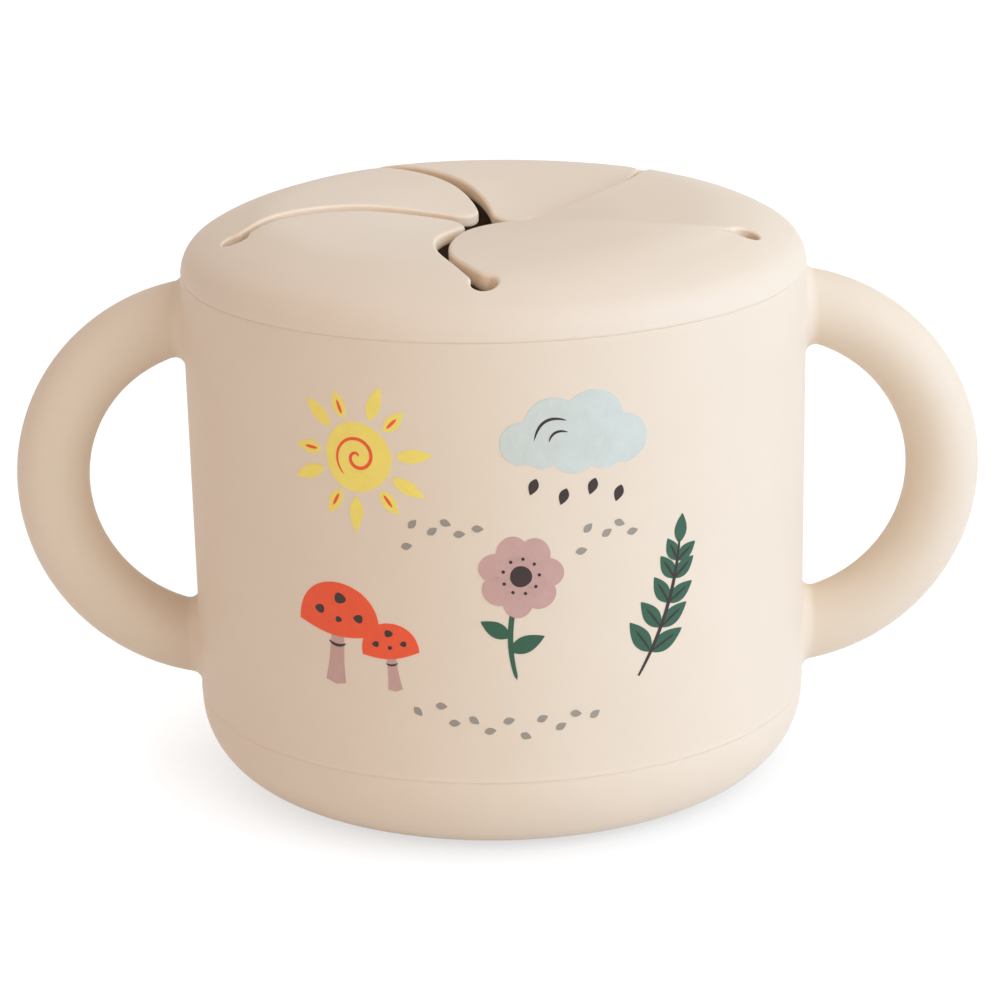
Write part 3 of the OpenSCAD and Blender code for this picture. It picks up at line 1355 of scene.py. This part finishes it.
def round_shape(radius: float, wobble: float, lobes: int, phase: float = 0.0, flat: float = 1.0,
                middle: Sequence[float] = (0, 0), count: int = 64) -> Points:
    """A closed outline: radius (1 + wobble cos(lobes a + phase)), with its height times flat.

    Args:
        radius: Mean radius.
        wobble: How far it swings in and out, as a share.
        lobes: How often it does so.
        phase: Where the first swing lies.
        flat: Height over width.
        middle: The outline's middle.
        count: How many points.

    Returns:
        The outline, counter-clockwise.
    """
    a = np.linspace(0, 2 * math.pi, count, endpoint=False)
    r = radius * (1 + wobble * np.cos(lobes * a + phase))
    return np.column_stack((middle[0] + r * np.cos(a), middle[1] + flat * r * np.sin(a)))


def leaf_shape(length: float, width: float, base: Sequence[float], heading: float,
               count: int = 40) -> Points:
    """A pointed leaf: half-width (width/2) sin(pi s)^0.8 (1.25 - 0.5 s) along its length.

    Args:
        length: The leaf's length.
        width: About its greatest width.
        base: Where it starts.
        heading: Where it points, in degrees.
        count: How many points on each side.

    Returns:
        The outline, counter-clockwise.
    """
    s = np.linspace(0, 1, count)
    half = width / 2 * np.sin(math.pi * s) ** 0.8 * (1.25 - 0.5 * s)
    right = np.column_stack((length * s, -half))
    left = np.column_stack((length * s, half))[::-1]
    return turned(np.vstack((right, left[1:-1])), heading) + np.asarray(base, float)


def bend(first: Sequence[float], pull: Sequence[float], last: Sequence[float],
         count: int = 16) -> Points:
    """A gentle curve from first to last that is pulled towards a third point.

    Args:
        first: Its first point.
        pull: The point that pulls it.
        last: Its last point.
        count: How many points.

    Returns:
        The points of the parabola (1-s)^2 first + 2 s (1-s) pull + s^2 last.
    """
    s = np.linspace(0, 1, count)[:, None]
    a, b, c = (np.asarray(p, float) for p in (first, pull, last))
    return (1 - s) ** 2 * a + 2 * s * (1 - s) * b + s**2 * c


def tapered(width: float, count: int = 16, sharp: float = 0.5) -> Points:
    """Stroke widths that swell from a point and run out to one: width sin(pi s)^sharp."""
    return width * np.sin(math.pi * np.linspace(0, 1, count)) ** sharp


@dataclass(frozen=True)
class Motifs:
    """The drawings of the print, each placed at a distance u along the wall and a height z."""

    cup: Cup

    def sun(self, name: str, u: float, z: float) -> Print:
        """A round sun with leaf-shaped rays and a curl of orange.

        Args:
            name: The piece's name.
            u: Its middle's distance along the wall from the front.
            z: Its middle's height.

        Returns:
            The motif.
        """
        art = Print(self.cup, name, u, z, tilt=8)
        for k in range(11):
            turn = 360 / 11 * k + (4 if k % 2 else -3)
            reach = 4.0 if k % 2 else 5.2
            ray = direction(turn)
            art.blob(Inks.SUN, leaf_shape(reach, 1.9, 5.6 * ray, turn), 0, 4)
            if k % 2:
                art.stroke(Inks.FLAME, straight(ray * 6.2, ray * 8.3, 8), tapered(0.45, 8))
        art.blob(Inks.SUN, round_shape(4.9, 0.02, 3, 0.4), 0)
        t = np.linspace(0.5, 10.2, 60)
        curl = np.column_stack((0.33 * t * np.cos(t), 0.33 * t * np.sin(t)))
        art.stroke(Inks.FLAME, curl, tapered(0.5, 60, 0.3))
        return art

    def cloud(self, name: str, u: float, z: float) -> Print:
        """A pale cloud of round puffs with dark drops below it.

        Args:
            name: The piece's name.
            u: Its middle's distance along the wall from the front.
            z: Its middle's height.

        Returns:
            The motif.
        """
        art = Print(self.cup, name, u, z, tilt=-3)
        a = np.linspace(0, 2 * math.pi, 160, endpoint=False)
        puffs = np.array([[-7.2, 0.2, 3.0], [-3.1, 2.6, 4.0], [2.4, 3.2, 4.4], [7.0, 0.6, 3.4],
                          [0.0, -0.4, 3.6], [-4.4, -0.7, 2.6], [4.2, -0.7, 2.8]])
        ray = np.stack((np.cos(a), np.sin(a)), axis=-1)
        along = ray @ puffs[:, :2].T
        spare = puffs[:, 2] ** 2 - (puffs[:, 0] ** 2 + puffs[:, 1] ** 2) + along**2
        reach = np.where(spare > 0, along + np.sqrt(np.maximum(spare, 0)), 0)
        art.blob(Inks.MIST, ray * reach.max(1, keepdims=True), 0, 9)
        art.stroke(Inks.BARK, bend((-5.6, 0.6), (-5.0, 4.6), (-1.2, 3.4)), tapered(0.42))
        art.stroke(Inks.BARK, bend((-3.6, 0.4), (-3.2, 2.4), (-1.0, 1.8)), tapered(0.36))
        for x, y in ((-5.6, -6.0), (-1.4, -7.4), (2.6, -6.1), (6.4, -7.3)):
            art.blob(Inks.BARK, leaf_shape(2.4, 1.35, (x + 0.5, y + 1.3), 252), 0, 4)
        return art

    def mushrooms(self, name: str, u: float, z: float) -> Print:
        """Two toadstools with flame caps, dark gill strokes and pale stems.

        Args:
            name: The piece's name.
            u: Its middle's distance along the wall from the front.
            z: Its middle's height.

        Returns:
            The motif.
        """
        art = Print(self.cup, name, u, z)
        for x, size, lean in ((-3.6, 1.0, -4.0), (5.6, 0.66, 7.0)):

            def stood(part: Points) -> Points:
                """A part of the toadstool, sized, leant and set on its foot."""
                return size * turned(part, lean) + (x, -7.5)

            stem = np.array([[1.5, 0.1], [1.15, 3.0], [1.0, 6.5], [1.2, 8.4], [-1.2, 8.4],
                             [-1.0, 6.5], [-1.25, 3.0], [-1.7, 0.1], [0.0, -0.35]])
            art.blob(Inks.MAUVE, stood(stem), 0, 8)
            a = np.linspace(0, math.pi, 40)
            dome = np.column_stack((6.4 * np.cos(a), 8.0 + 6.6 * np.sin(a) ** 0.85))
            brim = np.column_stack((np.linspace(-6.4, 6.4, 24)[1:-1],
                                    8.0 - 1.2 * np.sin(np.linspace(0, math.pi, 24))[1:-1]))
            art.blob(Inks.FLAME, stood(np.vstack((dome, brim))), 1, 8)
            spots = ((-3.0, 10.2, 0.75), (0.2, 12.4, 0.9), (3.2, 10.0, 0.7), (0.1, 9.3, 0.5))
            for sx, sy, r in spots:
                spot = round_shape(r, 0.08, 3, sx, 0.85, middle=(sx, sy), count=24)
                art.blob(Inks.BARK, stood(spot), 2, 3)
            ring = bend((-1.35, 5.9), (0.0, 5.0), (1.35, 5.9), 12)
            art.stroke(Inks.BARK, stood(ring), tapered(0.42 * size, 12), 2)
        return art

    def sprig(self, name: str, u: float, z: float) -> Print:
        """A curved stem with paired leaves, each with a dark vein.

        Args:
            name: The piece's name.
            u: Its middle's distance along the wall from the front.
            z: Its middle's height.

        Returns:
            The motif.
        """
        art = Print(self.cup, name, u, z, tilt=-14, scale=0.95)
        stem = bend((-1.5, -11.5), (2.2, -1.0), (0.6, 9.2), 40)
        for k, s in enumerate((0.2, 0.38, 0.56, 0.73, 0.87)):
            at = stem[int(s * 39)]
            size = 6.6 - 3.0 * s
            for side in (-1, 1):
                turn = 92 - side * (52 - 14 * s) + (2 if k % 2 else -3)
                art.blob(Inks.LEAF, leaf_shape(size, 2.9 - 0.9 * s, at, turn), 0, 5)
                tip = at + 0.74 * size * direction(turn)
                vein = bend(at, (at + tip) / 2 + (0.12, 0.1), tip, 10)
                art.stroke(Inks.BARK, vein, tapered(0.3, 10), 2)
        art.blob(Inks.LEAF, leaf_shape(4.4, 2.1, stem[-2], 96), 0, 5)
        art.stroke(Inks.BARK, stem, 0.55 * np.sin(math.pi * np.linspace(0.02, 1, 40)) ** 0.25)
        return art

    def flower(self, name: str, u: float, z: float) -> Print:
        """A round-petalled flower with a dark heart on a leafy stalk.

        Args:
            name: The piece's name.
            u: Its middle's distance along the wall from the front.
            z: Its middle's height.

        Returns:
            The motif.
        """
        art = Print(self.cup, name, u, z, tilt=-6)
        stalk = bend((0, 2.0), (-1.8, -5.0), (0.8, -11.5), 24)
        art.stroke(Inks.LEAF, stalk, tapered(0.75, 24, 0.25), 0)
        art.blob(Inks.LEAF, leaf_shape(5.2, 2.4, (-0.6, -7.4), 28), 0, 5)
        art.blob(Inks.LEAF, leaf_shape(4.6, 2.2, (-0.7, -5.4), 156), 0, 5)
        heart = np.array([0, 3.4])
        for k in range(7):
            turn = 360 / 7 * k + 12
            petal = round_shape(2.15, 0.05, 2, 2 * math.radians(turn),
                                middle=heart + 3.7 * direction(turn), count=32)
            art.blob(Inks.MAUVE, petal, 1, 4)
        art.blob(Inks.MAUVE, round_shape(3.2, 0.02, 4, middle=heart, count=40), 1, 5)
        art.blob(Inks.BARK, round_shape(1.5, 0.015, 3, middle=heart, count=48), 2, 4)
        for k in range(9):
            at = heart + 2.5 * direction(40 * k + 9)
            art.blob(Inks.BARK, round_shape(0.24, 0.0, 2, middle=at, count=14), 2, 3)
        return art

    def seeds(self, name: str, u: float, z: float, path: Sequence[Sequence[float]],
              count: int) -> Print:
        """Small grey seeds scattered to both sides of a curve.

        Args:
            name: The piece's name.
            u: Its middle's distance along the wall from the front.
            z: Its middle's height.
            path: The curve's first point, the point that pulls it and its last point.
            count: How many seeds.

        Returns:
            The motif.
        """
        art = Print(self.cup, name, u, z)
        line = bend(*path, count=count)
        along = np.gradient(line, axis=0)
        along /= np.linalg.norm(along, axis=1, keepdims=True)
        for k, (at, way) in enumerate(zip(line, along)):
            off = turned(way, 90) * (0.85 if k % 2 else -0.85)
            turn = math.degrees(math.atan2(way[1], way[0])) + (18 if k % 3 else -22)
            art.blob(Inks.SEED, leaf_shape(1.65, 1.0, at + off, turn, 14), 0, 3)
        return art

    def all_round(self) -> Iterable[Print]:
        """Every motif: the same print on the front and, half a turn on, at the back.

        Returns:
            The motifs, one after another.
        """
        for side, u in (("front", 0.0), ("back", math.pi * self.cup.rim_r)):
            yield self.sun(f"print_sun_{side}", u - 19.5, 58.5)
            yield self.cloud(f"print_cloud_{side}", u + 10.5, 60.5)
            yield self.mushrooms(f"print_toadstools_{side}", u - 20.5, 33.0)
            yield self.flower(f"print_flower_{side}", u + 2.5, 39.0)
            yield self.sprig(f"print_sprig_{side}", u + 23.5, 36.5)
            for place, off, z, path, count in (
                    ("left", -9, 47, ((-5, 0), (0, 4), (5, 1.5)), 6),
                    ("low", 0, 23, ((-12, 1), (0, -5), (12, -1)), 11),
                    ("right", 14, 47, ((-4, -1), (0, 2), (4, 1)), 5)):
                yield self.seeds(f"print_seeds_{place}_{side}", u + off, z, path, count)


# --------------------------------------------------------------------- studio


@dataclass(frozen=True)
class Lamp:
    """A square soft lamp: its place and side in metres, its power in watts and its colour."""

    name: str
    place: tuple[float, float, float]
    size: float
    power: float
    colour: tuple[float, float, float]

    def build(self, aim: Vector) -> None:
        """Put up the lamp.

        Args:
            aim: The point that it faces.
        """
        light = bpy.data.lights.new(self.name, "AREA")
        light.shape, light.size, light.energy = "SQUARE", self.size, self.power
        light.color = self.colour
        lamp = placed(self.name, light)
        lamp.rotation_euler = (Vector(self.place) - aim).to_track_quat("Z", "Y").to_euler()
        lamp.location = Vector(self.place)


@dataclass(frozen=True)
class Studio:
    """A plain white sweep, soft lamps and the camera of the photograph."""

    focal_px: float = 3540.1
    frame_px: float = 1000.0
    sensor_mm: float = 36.0
    distance: float = 520.8
    aim_z: float = 40.0
    elevation: float = 17.56
    yaw: float = -0.027
    pitch: float = -0.101
    roll: float = 1.186
    floor_size: float = 6.0
    paper: tuple[tuple[float, float, float, float], ...] = (
        (0.29, 0.29, 0.295, 1), (0.31, 0.31, 0.31, 1))
    bounce: float = 0.93
    glow: float = 0.63  # the floor's own light where the object stands on it
    shade: float = 0.24  # what open floor adds to that
    shade_reach: float = 15.0
    ambient: float = 0.381
    ambient_colour: tuple[float, float, float] = (1.0, 0.961, 0.928)
    lamps: tuple[Lamp, ...] = (
        Lamp("key_right", (0.85, -0.65, 0.75), 1.1, 8.76, (0.853, 0.934, 1.0)),
        Lamp("side_right", (1.05, -0.25, 0.22), 0.9, 6.1, (0.364, 0.597, 1.0)),
        Lamp("top", (0.1, 0.15, 1.1), 1.2, 2.25, (1.0, 0.945, 0.955)),
        Lamp("warm_left", (-0.9, -0.55, 0.45), 1.1, 2.42, (1.0, 0.64, 0.45)),
        Lamp("low_front", (0.50, -1.10, 0.10), 0.9, 1.7, (1.0, 0.98, 0.66)),
        Lamp("back_right", (0.7, 0.8, 0.6), 1.2, 1.82, (1.0, 0.96, 0.42)),
    )

    def add_camera(self) -> None:
        """The camera: it looks at the aim from the front, then turns by the small fitted angles."""
        lens = bpy.data.cameras.new("camera")
        lens.sensor_fit, lens.sensor_width = "HORIZONTAL", self.sensor_mm
        lens.lens = self.focal_px / self.frame_px * self.sensor_mm
        lens.clip_start, lens.clip_end = 0.01, 50
        camera = placed("camera", lens)
        tilt = math.radians(self.elevation)
        stand = Matrix.Rotation(math.pi / 2 - tilt, 4, "X")
        fine = (Matrix.Rotation(math.radians(self.yaw), 4, "Y")
                @ Matrix.Rotation(math.radians(self.pitch), 4, "X")
                @ Matrix.Rotation(math.radians(-self.roll), 4, "Z"))
        back, up = math.cos(tilt) * self.distance, math.sin(tilt) * self.distance
        place = Matrix.Translation(Vector((0, -back, self.aim_z + up)) * MM)
        camera.matrix_world = place @ stand @ fine
        bpy.context.scene.camera = camera

    def floor_material(self) -> bpy.types.Material:
        """White paper: what the camera sees is part glow, so that the shadow stays pale.

        The glow weakens by up to the shade's strength where the object stands close.

        Returns:
            The material.
        """
        tree = Shader.material("white_sweep")
        matt = tree.node("ShaderNodeBsdfDiffuse", None, {
            "Color": tree.blend(tree.noise(1.5, 2.0), *self.paper)})
        sky = tree.node("ShaderNodeAmbientOcclusion", {"samples": 12}, {
            "Distance": self.shade_reach * MM})
        strength = Value(tree, sky.outputs["AO"]) * self.shade + self.glow
        glow = tree.node("ShaderNodeEmission", None, {
            "Color": (1, 1, 1, 1), "Strength": strength})
        sight = tree.node("ShaderNodeAddShader", None, {0: matt.outputs[0], 1: glow.outputs[0]})
        bounce = tree.node("ShaderNodeBsdfDiffuse", None, {"Color": (*[self.bounce] * 3, 1)})
        both = tree.node("ShaderNodeMixShader", None, {
            0: tree.seen(), 1: bounce.outputs[0], 2: sight.outputs[0]})
        return tree.finish(both.outputs[0])

    def add_floor(self) -> None:
        """A wide flat sheet under the cup."""
        half = self.floor_size / 2
        corners = [(-half, -half, 0), (half, -half, 0), (half, half, 0), (-half, half, 0)]
        mesh = bpy.data.meshes.new("floor")
        mesh.from_pydata(corners, [], [(0, 1, 2, 3)])
        mesh.materials.append(self.floor_material())
        floor = placed("floor", mesh)

    def light_world(self) -> None:
        """An even white surround: white to the camera and in gloss, dimmer as light."""
        world = bpy.data.worlds.new("surround")
        bpy.context.scene.world = world
        tree = Shader(world)
        dim = tree.node("ShaderNodeBackground", None, {
            "Color": (*self.ambient_colour, 1), "Strength": self.ambient})
        white = tree.node("ShaderNodeBackground", None, {"Strength": 1.0})
        mix = tree.node("ShaderNodeMixShader", None, {
            0: tree.seen(), 1: dim.outputs[0], 2: white.outputs[0]})
        tree.finish(mix.outputs[0], "ShaderNodeOutputWorld")

    def build(self) -> None:
        """Set up floor, lamps, surround and camera."""
        bpy.context.scene.view_settings.view_transform = "Standard"
        self.add_floor()
        self.light_world()
        for lamp in self.lamps:
            lamp.build(Vector((0, 0, self.aim_z * MM)))
        self.add_camera()


# ----------------------------------------------------------------------- main


def report(piece: bpy.types.Object, body: str) -> None:
    """Log a finished piece and the body that it moves with."""
    LOG.info("%s: %d faces, on %s", piece.name, len(piece.data.polygons), body)


def dress_cup(cup: Cup, finish: bpy.types.Material) -> None:
    """Build the cup's four skins, seat them on the cup and hide the solids they stand for.

    Args:
        cup: The cup's sizes.
        finish: Its silicone.
    """
    pieces = {
        "cup_body": cup.build_wall(finish),
        "cup_base": cup.build_floor(finish),
        "handle_right": cup.build_handle("handle_right_ring", False, finish),
        "handle_left": cup.build_handle("handle_left_ring", True, finish),
    }
    for node, piece in pieces.items():
        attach(piece, "cup")
        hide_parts(node)
        report(piece, "cup")


def dress_lid(shape: LidShape, finish: bpy.types.Material) -> None:
    """Build the lid's rim and its five flaps.

    Each flap's numbers are how far its tip, its edge along its own slit, its edge along the
    next slit, its middle and its very point stand off the moulded surface, as it has settled.

    Args:
        shape: The lid's sizes.
        finish: Its silicone.
    """
    rim = LidRim(shape).build(finish)
    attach(rim, "lid")
    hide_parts("lid_rim")
    report(rim, "lid")
    for flap in (
        Flap(shape, "flap_front_right", 0, 0.88, -1.19, 1.05, 0.17, 0.42, tip_r=5.2, next_fade=2.0),
        Flap(shape, "flap_back_right", 1, -0.46, -0.38, 0.59, 0.35, 0.05),
        Flap(shape, "flap_back", 2, -0.72, -0.83, 0.83, 0.29, 0.85),
        Flap(shape, "flap_back_left", 3, -0.29, 0.37, 0.92, 0.36, 0.93),
        Flap(shape, "flap_front_left", 4, -0.53, 0.68, 0.15, 0.24, 1.02, tip_r=3.0),
    ):
        piece = flap.build(finish)
        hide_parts(flap.name)
        report(piece, f"lid and {flap.name}")


def main() -> None:
    """Build the cup, its lid, the print and the studio, and report each piece."""
    logging.basicConfig(level=logging.INFO, format="%(name)s %(message)s")
    cup = Cup.from_frame()
    shape = LidShape.from_frame(cup.seam_z)
    cup_finish = SoftSilicone("cup_silicone", (234, 216, 196), (229, 210, 189)).material()
    lid_finish = SoftSilicone(
        "lid_silicone", (234, 217, 199), (230, 211, 191), cloud_mm=14).material()
    dress_cup(cup, cup_finish)
    dress_lid(shape, lid_finish)
    inks = {ink: ink.value.material() for ink in Inks}
    for art in Motifs(cup).all_round():
        report(art.build(inks), "cup")
    Studio().build()


if __name__ == "__main__":
    main()
